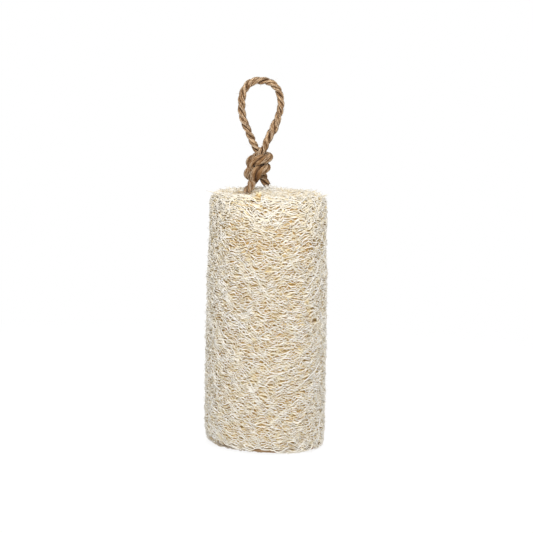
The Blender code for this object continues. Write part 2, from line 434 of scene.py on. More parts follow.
class FibreBundle:
    """Collects fibres and turns them all into meshes of closed three-sided tubes."""

    SIDES = 3

    def __init__(self):
        self.fibres = []

    def add(self, points, outward, width, height, tone, depth=0.0, brown_and_shade=0.0):
        """Add one fibre by its centreline, outward direction and half sizes."""
        count = len(points)
        numbers = [np.broadcast_to(value, count) for value in (width, height, tone, depth, brown_and_shade)]
        self.fibres.append(np.column_stack([points, np.broadcast_to(outward, (count, 3)), *numbers]))

    def build(self, name, material):
        """Make the mesh objects, as many as keep each within the triangle limit."""
        sizes = np.array([len(fibre) for fibre in self.fibres])
        parts = math.ceil(sizes.sum() * 2 * self.SIDES / MOST_TRIANGLES)
        share = np.cumsum(sizes) / sizes.sum()
        cuts = [int(np.searchsorted(share, part / parts)) for part in range(parts)] + [len(sizes)]
        return [self.build_part(f"{name}_{part + 1}", material, cuts[part], cuts[part + 1])
                for part in range(parts)]

    def build_part(self, name, material, low, high):
        """Make one mesh object of the fibres from low to high."""
        rows = np.concatenate(self.fibres[low:high])
        points, outward = rows[:, :3], rows[:, 3:6]
        sizes = np.array([len(fibre) for fibre in self.fibres[low:high]])
        last = np.cumsum(sizes) - 1
        first = last - sizes + 1
        before = np.arange(len(points)) - 1
        after = before + 2
        before[first] = first
        after[last] = last
        along = unit(points[after] - points[before])
        across = unit(np.cross(along, outward))
        lifted = np.cross(across, along)
        angles = np.pi / 2 + 2 * np.pi * np.arange(self.SIDES) / self.SIDES
        width, height = rows[:, 6, None, None], rows[:, 7, None, None]
        ring = (points[:, None] + across[:, None] * width * np.cos(angles)[None, :, None]
                + lifted[:, None] * height * np.sin(angles)[None, :, None])
        values = {key: np.repeat(rows[:, column], self.SIDES)
                  for key, column in (("tone", 8), ("depth", 9), ("brown_and_shade", 10))}
        quads, caps = tube_faces(sizes, self.SIDES)
        return mesh_from_arrays(name, ring.reshape(-1, 3), quads, caps, material, values)


# The jute cord

KNOT_LEFT_MM = [
    (-2.9, 0.2, 12.5), (-1.2, 0.7, 9.3), (0.4, 2.0, 6.9), (2.9, 3.0, 5.4), (5.9, 2.2, 5.2),
    (7.1, -0.8, 4.7), (5.0, -4.2, 4.1), (1.8, -5.4, 3.3), (-1.6, -4.8, 2.0), (-3.9, -2.6, 0.2),
    (-2.8, -0.8, -2.0), (-4.2, -1.6, -4.0), (-5.5, -1.4, -6.0), (-4.0, 0.8, -7.4), (-0.6, 1.6, -5.9),
    (2.4, 0.8, -5.8), (4.2, 0.9, -7.8), (4.9, 1.4, -10.2),
]
KNOT_RIGHT_MM = [
    (4.8, -0.2, 12.5), (4.2, -0.3, 9.8), (2.7, -0.8, 7.3), (-0.3, -1.4, 5.2), (-3.2, -1.6, 3.6),
    (-5.0, -0.4, 1.6), (-4.9, 2.0, -0.4), (-2.6, 3.9, -1.3), (1.8, 4.5, -0.9), (5.0, 3.0, -0.8),
    (6.0, 0.0, -1.5), (4.6, -3.6, -2.0), (1.6, -5.2, -2.8), (-0.8, -5.2, -5.0), (-1.3, -4.6, -7.8),
    (-2.2, -3.8, -10.2),
]
KNOT_POINTS = 48
KNOT_ROUNDS = 120
# How near the knot's strands may come, in cord thicknesses
KNOT_TIGHTNESS = 0.94


def push_apart(strands, reach, skip):
    """Move apart points of the two strands that are nearer than the cord is thick."""
    flat = strands.reshape(-1, 3)
    count = strands.shape[1]
    offset = flat[:, None] - flat[None]
    distance = np.sqrt((offset ** 2).sum(-1)) + 1e-9
    index = np.arange(2 * count)
    same = index[:, None] // count == index[None] // count
    near_along = same & (np.abs(index[:, None] - index[None]) < skip)
    push = np.where((distance < reach) & ~near_along, (reach - distance) / 2, 0.0)
    move = (offset / distance[..., None] * push[..., None]).sum(1)
    crowd = np.maximum(1.0, (push > 0).sum(1) / 2)
    return (flat + 0.8 * move / crowd[:, None]).reshape(strands.shape)


def keep_lengths(strands, spacing):
    """Pull neighbouring points to their spacing, first the even pairs and then the odd ones."""
    for start in (0, 1):
        pairs = (strands.shape[1] - start) // 2
        a = strands[:, start:start + 2 * pairs:2]
        b = strands[:, start + 1:start + 2 * pairs:2]
        step = b - a
        length = np.linalg.norm(step, axis=2, keepdims=True)
        change = (length - spacing) / length * step / 2
        a += change
        b -= change


def tie_knot():
    """Lay the left and right strand of the knot along their listed routes, then ease them over a fixed
    number of rounds, pushing apart what lies too near.
    """
    laid = [even_spaced(catmull_rom(route), KNOT_POINTS) for route in (KNOT_LEFT_MM, KNOT_RIGHT_MM)]
    strands = np.stack(laid)
    ends = strands[:, [0, -1]].copy()
    spacing = np.array([route_length(strand) for strand in laid])[:, None, None] / (KNOT_POINTS - 1)
    reach = KNOT_TIGHTNESS * CORD_DIAMETER / MM
    skip = math.ceil(1.5 * reach / float(spacing.mean()))
    for _ in range(KNOT_ROUNDS):
        bend = strands[:, :-2] + strands[:, 2:] - 2 * strands[:, 1:-1]
        strands[:, 1:-1] += 0.06 * bend
        strands = push_apart(strands, reach, skip)
        keep_lengths(strands, spacing)
        strands[:, [0, -1]] = ends
    return strands + np.array(KNOT_CENTRE_MM)


def soften(points, rounds):
    """Ease the joins between stretches of a route, ends kept."""
    for _ in range(rounds):
        points[1:-1] = 0.5 * points[1:-1] + 0.25 * (points[:-2] + points[2:])
    return points


def cord_centreline():
    """Run the whole cord: left leg up, knot, loop, knot again, right leg down, in metres."""
    left, right = tie_knot()
    left_leg = [p for p in reversed(LEFT_LEG_ROUTE_MM) if p[2] < left[-1, 2] - 2.0]
    right_leg = [p for p in RIGHT_LEG_ROUTE_MM if p[2] < right[-1, 2] - 2.0]
    loop = [p for p in LOOP_ROUTE_MM if p[2] > left[0, 2] + 1.5]
    route = np.vstack([left_leg, right[::-1], loop[::-1], left, right_leg])
    fine = even_spaced(catmull_rom(route, 8), 700)
    return soften(fine, 25) * MM


def carried_frames(points):
    """Carry a sideways direction along a route without twisting it."""
    along = unit(np.gradient(points, axis=0))
    side = np.zeros_like(points)
    side[0] = unit(np.cross(along[0], (0.0, 1.0, 0.0)))
    for index in range(1, len(points)):
        side[index] = unit(side[index - 1] - along[index] * (side[index - 1] @ along[index]))
    return along, side, np.cross(along, side)


STRANDS = 3
STRAND_SHARE = 0.465
LAY_LENGTH = 0.0135
STRAND_SIDES = 18
CORD_STEP = 0.0005
CORD_HAIRS = 420
LAID_FIBRES = 1100
# Places where the lay is slack: a point nearby, half length and swell
SLACK_PLACES_MM = [
    ((-5.6, -5.0, 169.6), 7.5, 1.48), ((-7.8, -5.2, 162.2), 6.0, 1.70),
    ((-13.6, -1.6, 161.2), 5.0, 1.50), ((-0.2, -0.3, 187.0), 6.0, 1.32),
    ((-19.0, 0.8, 199.0), 12.0, 1.12), ((-12.0, 0.6, 214.3), 8.0, 1.12),
    ((-6.2, 0.8, 160.2), 4.5, 1.40), ((-11.0, -4.0, 155.0), 6.0, 1.22),
]
# Jute is richer from the top of the knot down, over this height
RICH_FROM = 0.184
RICH_OVER = 0.016


def slackness(points):
    """Return how much the cord swells at each of its points."""
    swell = np.ones(len(points))
    reached = np.linspace(0.0, route_length(points), len(points))
    for place, half, size in SLACK_PLACES_MM:
        nearest = np.argmin(np.linalg.norm(points - np.array(place) * MM, axis=1))
        swell += (size - 1.0) * np.exp(-((reached - reached[nearest]) / (half * MM)) ** 2)
    return swell


def strand_phase(points, strand):
    """Return the angle round the cord at which a strand lies, turning less where the cord is slack."""
    reached = np.linspace(0.0, route_length(points), len(points))
    turning = 1.0 / (LAY_LENGTH * slackness(points) ** 1.4)
    turns = np.concatenate([[0.0], np.cumsum(turning[1:] * np.diff(reached))])
    return 2 * np.pi * (strand / STRANDS - turns) + 0.25 * np.sin(reached / 0.013 + strand)


def outward_at(side, up, phase):
    """Return the outward directions at angles round the cord."""
    return side * np.cos(phase)[:, None] + up * np.sin(phase)[:, None]


def strand_rings(rng, fine, reached, radius, slack, strand):
    """Return one strand's rings of vertices, twisted round the cord's centreline."""
    _, side, up = carried_frames(fine)
    strand_radius = radius * (STRAND_SHARE + 0.14 * np.clip(slack - 1.0, 0.0, 0.5))
    outward = outward_at(side, up, strand_phase(fine, strand))
    middle = fine + outward * (radius - strand_radius)[:, None]
    along, _, _ = carried_frames(middle)
    across = unit(np.cross(along, outward))
    lifted = np.cross(across, along)
    angles = 2 * np.pi * np.arange(STRAND_SIDES) / STRAND_SIDES
    yarn = 0.09 * np.cos(4 * angles[None] + 2 * np.pi * reached[:, None] / 0.007 + strand)
    rough = 0.03 * rng.standard_normal((len(fine), STRAND_SIDES))
    size = strand_radius[:, None] * (1.04 + yarn + rough)
    return (middle[:, None]
            + across[:, None] * (size * np.cos(angles)[None])[..., None]
            + lifted[:, None] * (size * np.sin(angles)[None])[..., None])


def build_cord():
    """Lay three twisted strands along the cord's route, as one mesh."""
    rng = np.random.default_rng(41)
    centre = cord_centreline()
    length = route_length(centre)
    fine = even_spaced(centre, int(length / CORD_STEP))
    reached = np.linspace(0.0, length, len(fine))
    slack = slackness(fine)
    radius = CORD_DIAMETER / 2 * slack * (1.0 + 0.04 * np.sin(reached / 0.0047))
    rings = np.stack([strand_rings(rng, fine, reached, radius, slack, strand)
                      for strand in range(STRANDS)])
    distance = np.linalg.norm(rings - fine[:, None], axis=3)
    # depth: how far into the grooves between strands, for the painted groove shade
    values = {"depth": np.clip((0.90 - distance / radius[:, None]) / 0.32, 0.0, 1.0).ravel(),
              "tone": np.clip((RICH_FROM - rings[..., 2]) / RICH_OVER, 0.0, 1.0).ravel()}
    round_strand = slack[:, None] * np.arange(STRAND_SIDES) / STRAND_SIDES
    twist = round_strand + reached[:, None] / 0.012 + np.arange(STRANDS)[:, None, None] * 0.37
    run = np.broadcast_to(reached[:, None] / 0.004, twist.shape)
    quads, caps = tube_faces(np.full(STRANDS, len(fine)), STRAND_SIDES)
    cord = mesh_from_arrays("jute_cord", rings.reshape(-1, 3), quads, caps, jute_material(), values,
                            np.stack([run, twist], axis=3).reshape(-1, 2))
    claim([cord], "jute", "hanging_loop", "cord_knot", "cord_leg_left", "cord_leg_right")
    exit_point = tuple(float(v) * MM for v in LEFT_LEG_ROUTE_MM[3])
    return centre


def build_cord_hairs(centre, material):
    """Let fine stray jute fibres stand off the cord."""
    rng = np.random.default_rng(77)
    along, side, up = carried_frames(centre)
    hairs = FibreBundle()
    shown = np.nonzero(centre[:, 2] > SPONGE_HEIGHT + 0.002)[0]
    t = np.linspace(0.0, 1.0, 6)[:, None]
    thick = 0.000045 * (1.0 - 0.6 * t[:, 0])
    for _ in range(CORD_HAIRS):
        at = rng.choice(shown)
        angle = rng.uniform(0, 2 * np.pi)
        outward = side[at] * math.cos(angle) + up[at] * math.sin(angle)
        lean = unit(along[at] * rng.uniform(-1.6, 1.6) + outward * rng.uniform(0.25, 1.0))
        curl = rng.standard_normal(3) * 0.5
        reach = rng.uniform(0.0008, 0.0030)
        root = centre[at] + outward * CORD_DIAMETER / 2 * 0.9
        points = root + (lean * t + curl * t ** 2 * 0.35) * reach
        hairs.add(points, np.cross(lean, (0.31, 0.52, 0.79)), thick, thick, rng.uniform())
    claim(hairs.build("jute_hairs", material), "jute", "hanging_loop")


def build_laid_fibres(centre, material):
    """Lay loose surface fibres along the crests of the twisted strands."""
    rng = np.random.default_rng(83)
    fine = even_spaced(centre, int(route_length(centre) / CORD_STEP))
    _, side, up = carried_frames(fine)
    phases = [strand_phase(fine, strand) for strand in range(STRANDS)]
    radius = CORD_DIAMETER / 2 * slackness(fine)
    fibres = FibreBundle()
    for _ in range(LAID_FIBRES):
        size = rng.integers(5, 16)
        low = rng.integers(0, len(fine) - size)
        part = slice(low, low + size)
        strand = rng.integers(0, STRANDS)
        t = np.linspace(0.0, 1.0, size)
        veer = rng.normal(0.0, 0.32) + rng.normal(0.0, 0.25) * (t - 0.5)
        outward = outward_at(side[part], up[part], phases[strand][part] + veer)
        arch = 0.0001 * rng.uniform() * np.sin(np.pi * t)
        reach = radius[part] * (1.02 - 0.10 * np.abs(veer)) + 0.00004 + arch
        half = rng.uniform(0.00006, 0.00012) * (1.0 - 0.5 * np.abs(2 * t - 1) ** 3)
        fibres.add(fine[part] + outward * reach[:, None], outward, half, half, rng.uniform())
    claim(fibres.build("jute_laid_fibres", material), "jute", "hanging_loop")


# The sponge's surface as a mapped sheet

SHEET_RADIUS = 0.0353
# Depth at which the net ends and the inner mat behind it begins
DEEPEST = 0.0034
# Angles from the front at which the net's cells are narrowest
PEAK_DEGREES = (-133.0, -55.0, 56.0, 137.0)
FOOT_ROLL = 0.0030
FOOT_ROLL_ANGLE = math.radians(-62.0)
FOOT_ROLL_SPREAD = 0.7
FOOT_CURL = 0.0014
FOOT_CURL_ANGLE = math.radians(-42.0)
FOOT_CURL_SPREAD = 0.55
# How far the fibres rise and dip on their way round, in mm: an angle, then its lift at each level
RUN_LEVELS_MM = (0, 45, 80, 96, 115, 135, 152)
RUN_MM = [
    (-150, (3, 3, 3, 4, 4, 6, 7)), (-100, (2, 2, 2, 2, 1, 2, 2)), (-52, (5.5, 4.5, 4.5, 4, 3, 5, 6)),
    (-25, (1.8, 1.6, 1.5, 3, 2, 4, 4.5)), (4, (0, 0, 0, 0, 0, 0, 0)), (36, (1.5, 0.4, 0.4, 2, 2, 5, 5)),
    (60, (3, 2, 2, 4, 3, 6, 7)), (96, (0, 0, 0, 1, 1, 1, 1)), (140, (4, 4, 3, 4, 5, 6, 7)),
    (180, (0, 0, 0, 0, 0, 0, 0)),
]


def profile_table():
    """Tabulate the outline from foot to crown: length run, inset, height and outward direction."""
    turn = np.linspace(0.0, math.pi / 2, 12)
    foot_inset = FOOT_EDGE_RADIUS * (1 - np.sin(turn))
    foot_height = FOOT_EDGE_RADIUS * (1 - np.cos(turn))
    crown_inset = CROWN_EDGE_RADIUS * (1 - np.sin(turn[::-1]))
    crown_height = SPONGE_HEIGHT - CROWN_EDGE_RADIUS * (1 - np.cos(turn[::-1]))
    inset = np.concatenate([[BASE_RADIUS], foot_inset, crown_inset, [TOP_RADIUS]])
    height = np.concatenate([[0.0], foot_height, crown_height, [SPONGE_HEIGHT + CROWN_RISE]])
    out = np.concatenate([[0.0], np.sin(turn), np.sin(turn[::-1]), [0.0]])
    up = np.concatenate([[-1.0], -np.cos(turn), np.cos(turn[::-1]), [1.0]])
    run = np.concatenate([[0.0], np.cumsum(np.hypot(np.diff(inset), np.diff(height)))])
    return run - run[len(turn)] + FOOT_EDGE_RADIUS, inset, height, out, up


PROFILE = profile_table()


def wrapped(angle):
    """Bring an angle into the range of plus or minus half a turn."""
    return (angle + np.pi) % (2 * np.pi) - np.pi


def ripple(rng, count, rounds_low, rounds_high, wave_low, wave_high):
    """Make a smooth random field over angle and level that closes round the sponge."""
    rounds = rng.integers(rounds_low, rounds_high + 1, count) * rng.choice([-1, 1], count)
    waves = 2 * np.pi / rng.uniform(wave_low, wave_high, count)
    phases = rng.uniform(0, 2 * np.pi, count)
    scale = math.sqrt(2.0 / count)

    def field(angle, level):
        total = np.zeros(np.broadcast(angle, level).shape)
        for turns, wave, phase in zip(rounds, waves, phases):
            total = total + np.cos(turns * angle + wave * level + phase)
        return total * scale
    return field


def lumps():
    """Return the small unevenness of the outline."""
    rng = np.random.default_rng(5)
    broad = ripple(rng, 8, 4, 14, 0.014, 0.040)
    small = ripple(rng, 10, 16, 44, 0.004, 0.010)
    return lambda angle, level: 0.00018 * broad(angle, level) + 0.00022 * small(angle, level)


LUMPS = lumps()


def foot_curl(angle, z):
    """Return how far the foot's corner curls up off the floor."""
    near = np.exp(-(wrapped(angle - FOOT_CURL_ANGLE) / FOOT_CURL_SPREAD) ** 2)
    return FOOT_CURL * near * np.clip(1.0 - z / 0.02, 0.0, 1.0) ** 2


def on_sponge(angle, level, depth):
    """Place points at an angle from the front, a level along the outline and a depth below it."""
    run, inset, height, out, up = PROFILE
    z = np.interp(level, run, height)
    share = np.clip(z / SPONGE_HEIGHT, 0.0, 1.0)
    out = np.interp(level, run, out)
    up = np.interp(level, run, up)
    radius = BASE_RADIUS + (TOP_RADIUS - BASE_RADIUS) * share + WAIST_BULGE * np.sin(np.pi * share)
    around = angle - np.pi / 2
    relief = (RIB_DEPTH * np.cos(RIB_COUNT * around + 0.4 * np.sin(np.pi * share))
              + OUTLINE_DRIFT * np.cos(3 * around + 1.2 + 2.0 * share) + LUMPS(angle, level))
    rolled = FOOT_ROLL * np.exp(-(wrapped(angle - FOOT_ROLL_ANGLE) / FOOT_ROLL_SPREAD) ** 2)
    rolled = rolled * np.clip(1.0 - z / 0.012, 0.0, 1.0) ** 2
    radius = np.maximum(radius - np.interp(level, run, inset) - rolled + relief * out, 0.0) - depth * out
    x = radius * np.sin(angle) + TOP_LEAN * (share - 0.5)
    y = -radius * np.cos(angle)
    points = np.stack([x, y, z + foot_curl(angle, z) - depth * up], axis=-1)
    normals = np.stack([out * np.sin(angle), -out * np.cos(angle), up], axis=-1)
    return points, normals


def seen_at(pixel_x, pixel_y):
    """Return the angle and level of the sponge's side that the photograph shows at a pixel."""
    across = (pixel_x - IMAGE_SIDE_PX / 2 - AXIS_OFFSET_PX) / FOCAL_PX
    upward = (IMAGE_SIDE_PX / 2 - pixel_y) / FOCAL_PX
    side = across * math.cos(CAMERA_ROLL) - upward * math.sin(CAMERA_ROLL)
    rise = across * math.sin(CAMERA_ROLL) + upward * math.cos(CAMERA_ROLL)
    tilt = math.atan2(CAMERA_HEIGHT - AIM_HEIGHT, CAMERA_DISTANCE)
    ahead = math.cos(tilt) + rise * math.sin(tilt)
    climb = rise * math.cos(tilt) - math.sin(tilt)
    a = side ** 2 + ahead ** 2
    b = -CAMERA_DISTANCE * ahead
    c = CAMERA_DISTANCE ** 2 - SHEET_RADIUS ** 2
    reach = (-b - math.sqrt(max(b * b - a * c, 0.0))) / a
    x, y = side * reach, ahead * reach - CAMERA_DISTANCE
    return math.atan2(x, -y), CAMERA_HEIGHT + climb * reach


def placed(rows):
    """Turn rows of a pixel and sizes in mm into an angle, a level and sizes in m."""
    return [(*seen_at(x, y), *(size * MM for size in sizes)) for x, y, *sizes in rows]


def run_lift(angle, base):
    """Return how far a fibre line of one base level is lifted at each angle."""
    degrees = [row[0] for row in RUN_MM]
    levels = np.array(RUN_LEVELS_MM) * MM
    lifts = [np.interp(base, levels, row[1]) * MM for row in RUN_MM]
    here = np.degrees(angle)
    return sum(np.interp(here + shift, degrees, lifts, period=360.0) for shift in (-5.0, 0.0, 5.0)) / 3


def cell_stations(valley_cell, rib_cell, per_wave):
    """Choose the angles that fibres are laid through and the cells' running phase there."""
    angle = np.linspace(-np.pi, np.pi, 2001)
    near = sum(np.exp(-(wrapped(angle - math.radians(p)) / 0.16) ** 2) for p in PEAK_DEGREES)
    cell = valley_cell + (rib_cell - valley_cell) * np.clip(near, 0, 1)
    turning = SHEET_RADIUS * 2 * np.pi / cell * (angle[1] - angle[0])
    phase = np.concatenate([[0.0], np.cumsum(turning[1:])])
    waves = round(phase[-1] / (2 * np.pi))
    phase *= 2 * np.pi * waves / phase[-1]
    count = int(waves * per_wave)
    wanted = phase[-1] * np.arange(count) / count
    angles = np.interp(wanted, phase, angle)
    return np.concatenate([angles, angles + 2 * np.pi]), np.concatenate([wanted, wanted + phase[-1]])


# Openings and swirls that the photograph shows: pixel x, pixel y, half width and half height in mm
EYES_PX = [
    (234, 220, 2.4, 0.6), (287, 217, 2.2, 0.6), (293, 222, 2.6, 0.7),
    (276, 246, 2.0, 0.6), (255, 268, 1.4, 0.6), (295, 284, 2.4, 0.8), (270, 291, 2.6, 0.6),
    (315, 321, 2.2, 1.3), (231, 262, 1.2, 0.7), (216, 272, 1.5, 0.8),
    (306, 393, 4.6, 0.9), (309, 336, 2.8, 0.8), (253, 360, 2.4, 0.6), (277, 357, 2.4, 0.6),
    (285, 324, 3.0, 0.45), (309, 251, 2.0, 0.8), (222, 255, 1.6, 0.6),
    (250, 345, 2.0, 0.5), (298, 412, 2.0, 0.6), (262, 398, 1.8, 0.5), (229, 386, 1.8, 0.6),
]
# Notches in the foot's rim that show the inside, coloured brown as painted shade: top pixel x and y,
# half width in mm
NOTCHES_PX = [(214, 439, 2.4), (256, 448.7, 3.0), (266, 450.5, 5.2), (223, 445, 4.0),
              (312, 446.5, 3.6), (242, 450, 2.4)]
# Holes in the outer nets: pixel x and y, half width and half height in mm
HOLES_PX = [(258.3, 196.0, 1.8, 2.6), (294, 284.4, 1.5, 0.40), (315, 321, 1.9, 0.95),
            (231.5, 262, 0.7, 0.6), (215.5, 271.5, 1.0, 0.7), (275.5, 246.5, 1.3, 0.35),
            (255, 268.5, 1.1, 0.45), (217.5, 253, 0.7, 0.7), (309, 250, 0.8, 0.7),
            (253, 286, 0.9, 0.35), (306, 394, 1.6, 0.4), (216, 318, 0.8, 0.5)]
# Inner fibres that show under the foot's rim, brown with painted shade: middle pixel x and y, half width
# in mm
LIPS_PX = [(263.5, 452, 8.0), (214, 441, 2.6), (222, 446, 3.0), (312, 449, 3.0)]
RIM_BAND = 0.0009
# From this level up, over this height, the fibres grow coarser and lie shallower
COARSE_FROM = 0.118
COARSE_OVER = 0.015


def upper_share(level):
    """Return how far a level lies into the coarse zone under the crown."""
    return np.clip((level - COARSE_FROM) / COARSE_OVER, 0.0, 1.0)


def off_floor(points, least=0.0004):
    """Lift the points that would touch the floor, and return them all."""
    points[:, 2] = np.maximum(points[:, 2], least)
    return points


def round_from(angle, where):
    """Return the distance round the sponge from an angle."""
    return wrapped(angle - where) * SHEET_RADIUS


def rim_field():
    """Return a function that gives how far the foot's rim stands off the floor at each angle."""
    rng = np.random.default_rng(13)
    ragged = ripple(rng, 10, 5, 26, 0.9, 1.1)
    notches = placed(NOTCHES_PX)

    def rim(angle):
        lift = -0.0013 + 0.0006 * ragged(angle, 0.0)
        for where, top, half in notches:
            near = round_from(angle, where) / half
            tall = np.interp(top - foot_curl(where, 0.0), PROFILE[2], PROFILE[0])
            lift = np.maximum(lift, (tall + 0.0015) * np.exp(-near ** 4 / 2) - 0.0015)
        return lift
    return rim


RIM = rim_field()
HOLES = placed(HOLES_PX)


def outside_holes(angle, level, share):
    """Tell which points lie outside the holes in the net, each hole shrunk to a share."""
    clear = np.ones(np.broadcast(angle, level).shape, bool)
    for where, height, half, tall in HOLES:
        across = round_from(angle, where) / (half * share)
        clear &= across ** 2 + ((level - height) / (tall * share)) ** 2 > 1.0
    return clear


def gathered(level, edge):
    """Bend the fibre lines that would run off the foot so that they follow its rim."""
    above = level - edge
    return edge + np.where(above < RIM_BAND, RIM_BAND * np.exp((above - RIM_BAND) / RIM_BAND), above)


def foot_shade(height, depth):
    """Paint brown shade on the deep fibres just above the floor."""
    low = np.clip(2.4 - height / 0.0022, 0.0, 1.0)
    return 0.9 * low * np.clip((depth - 0.0007) / 0.0008, 0.0, 1.0)


def flow(rng, spacing, eye_share, run_share):
    """Return a function that gives the level of a fibre line at each angle."""
    bend = ripple(rng, 9, 2, 8, 0.020, 0.060)
    small_bend = ripple(rng, 14, 8, 26, 0.008, 0.026)
    eyes = placed(EYES_PX)

    def line(angle, base):
        level = base + run_share * (run_lift(angle, base - 0.002) - 0.0025)
        level = level + 0.0006 * bend(angle, base) + 0.00046 * small_bend(angle, base)
        for where, height, width, full in eyes:
            tall = full * eye_share
            across = round_from(angle, where) / width
            apart = level[np.argmin(np.abs(across))] - height
            if abs(apart) < 5 * tall:
                push = math.copysign(tall, apart) * math.exp(-abs(apart) / (1.6 * tall + spacing))
                level = level + push * np.exp(-across ** 2)
        return level
    return line


def cut_pieces(rng, count, shortest, longest, overlap):
    """Split a run of points into overlapping pieces of random size."""
    start = -int(rng.uniform(0, shortest))
    while start < count:
        size = int(rng.uniform(shortest, longest))
        yield max(start, 0), min(start + size, count)
        start += size - overlap


def add_fibre_piece(rng, bundle, angle, level, depth, width, opened):
    """Add one piece of fibre whose ends taper and dive under their neighbours."""
    edge = RIM(angle) if opened > 0.0 else 0.0
    kept = (level > edge - 0.0016) & (level < SPONGE_HEIGHT + 0.003)
    if opened > 0.0:
        kept &= outside_holes(angle, level, opened)
        level = gathered(level, edge)
    edges = np.nonzero(np.diff(np.concatenate([[0], kept.astype(int), [0]])))[0]
    for low, high in zip(edges[::2], edges[1::2]):
        count = high - low
        if count < 4:
            continue
        part = slice(low, high)
        from_end = np.minimum(np.arange(count), np.arange(count)[::-1])
        full = np.clip(from_end / 3.5, 0.0, 1.0)
        sunk = depth[part] + 0.0005 * (1 - full) ** 2
        points, normals = on_sponge(angle[part], level[part], sunk)
        off_floor(points)
        swell = 1.0 + 0.2 * np.sin(np.arange(count) * rng.uniform(0.3, 0.9) + rng.uniform(0, 6.3))
        half = width * rng.uniform(0.75, 1.3) * swell * (0.4 + 0.6 * full)
        upper = upper_share(level[part])
        # Painted shade: colour darkens with depth, and more so near the crown, where the light falls
        # strongest; brown shade is added by the floor and near the crown
        shade = np.clip(sunk / DEEPEST * (1.0 + 0.1 * upper) + 0.05 * upper, 0.0, 1.0)
        brown_and_shade = foot_shade(points[:, 2], depth[part]) + CROWN_SHADE * upper
        bundle.add(points, normals, half, half * rng.uniform(0.6, 0.9), rng.uniform(), shade, brown_and_shade)


# The three nets, from the outside in; eyes, runs and holes are shares of what the photograph shows
NETS = [
    dict(name="outer_net", spacing=0.00094, depth=0.00044, width=0.00026, swing=0.00047, per_wave=5.6,
         valley_cell=0.0036, rib_cell=0.0026, pieces=(10, 36), eyes=1.0, runs=1.0, holes=1.0),
    dict(name="second_net", spacing=0.00120, depth=0.00115, width=0.00034, swing=0.00050, per_wave=4.2,
         valley_cell=0.0056, rib_cell=0.0042, pieces=(9, 34), eyes=0.8, runs=0.1, holes=0.85),
    dict(name="third_net", spacing=0.00210, depth=0.00200, width=0.00050, swing=0.00060, per_wave=4.5,
         valley_cell=0.0080, rib_cell=0.0060, pieces=(9, 34), eyes=0.5, runs=-0.6, holes=0.0),
]


def build_net(rng, material, name, spacing, depth, width, swing, per_wave, valley_cell, rib_cell, pieces,
              eyes, runs, holes):
    """Wind wavy fibres round the sponge so that neighbours meet and part in small lens shapes."""
    bundle = FibreBundle()
    angle, phase = cell_stations(valley_cell, rib_cell, per_wave)
    line = flow(rng, spacing, eyes, runs)
    phase_field = ripple(rng, 16, 6, 30, 0.006, 0.030)
    size_field = ripple(rng, 12, 10, 40, 0.006, 0.024)
    depth_field = ripple(rng, 14, 8, 34, 0.005, 0.024)
    own_field = ripple(rng, 10, 20, 60, 0.0007, 0.0015)
    for number in range(int((SPONGE_HEIGHT + 0.024) / spacing)):
        base = -0.014 + (number + 0.22 * float(np.clip(rng.standard_normal(), -1.1, 1.1))) * spacing
        upper = upper_share(base)
        base = base + 0.32 * max(base - COARSE_FROM, 0.0)
        wave = phase * (1.0 - 0.3 * upper) + 2.1 * phase_field(angle, base)
        wave = wave + np.pi * number + 0.4 * rng.standard_normal()
        size = swing * np.clip(1.0 + 0.5 * size_field(angle, base), 0.2, 2.0)
        size = size * (1.0 + 0.1 * upper)
        level = line(angle, base) + size * np.sin(wave) + 0.16 * spacing * own_field(angle, base)
        below = depth + 0.00030 * np.cos(wave + 0.8) + 0.00025 * depth_field(angle, base)
        below = np.maximum(below * (1.0 - 0.45 * upper), 0.00025)
        first = rng.integers(0, len(angle) // 2)
        for start, end in cut_pieces(rng, len(angle) // 2 + 3, *pieces, 3):
            part = slice(first + start, min(first + end, len(angle)))
            add_fibre_piece(rng, bundle, angle[part], level[part], below[part],
                            width * (1.0 + 0.4 * upper), holes)
    return bundle.build(name, material)


# Single fibres that stand out in the photograph: start and end pixels
STRAYS_PX = [
    ((295, 388), (321, 359)), ((316, 444), (318, 419)), ((262, 187), (262, 203)),
    ((305, 292), (322, 262)), ((310, 300), (325, 276)), ((272, 377), (300, 366)),
    ((226, 312), (246, 330)), ((220, 268), (238, 262)), ((231, 198), (229, 214)),
    ((318, 196), (322, 214)), ((300, 205), (318, 192)), ((214, 290), (226, 276)),
]


def headed(angle, level, heading, reach, t=1.0):
    """Return the angles and levels along a straight line over the sponge's side."""
    return angle + reach * math.cos(heading) * t / SHEET_RADIUS, level + reach * math.sin(heading) * t


def add_stray(bundle, start, end, bow, width, tone, proud):
    """Lay one fibre over the others from one place on the sponge to another."""
    t = np.linspace(0.0, 1.0, 9)
    angle = start[0] + (end[0] - start[0]) * t + bow * np.sin(np.pi * t) / SHEET_RADIUS
    level = start[1] + (end[1] - start[1]) * t + bow * np.sin(np.pi * t)
    arch = np.clip(np.sin(np.pi * t) * 1.6, 0.0, 1.0)
    points, normals = on_sponge(angle, level, 0.0007 - (0.0007 + proud) * arch)
    half = width * (0.5 + 0.5 * arch)
    bundle.add(points, normals, half, half * 0.8, tone)


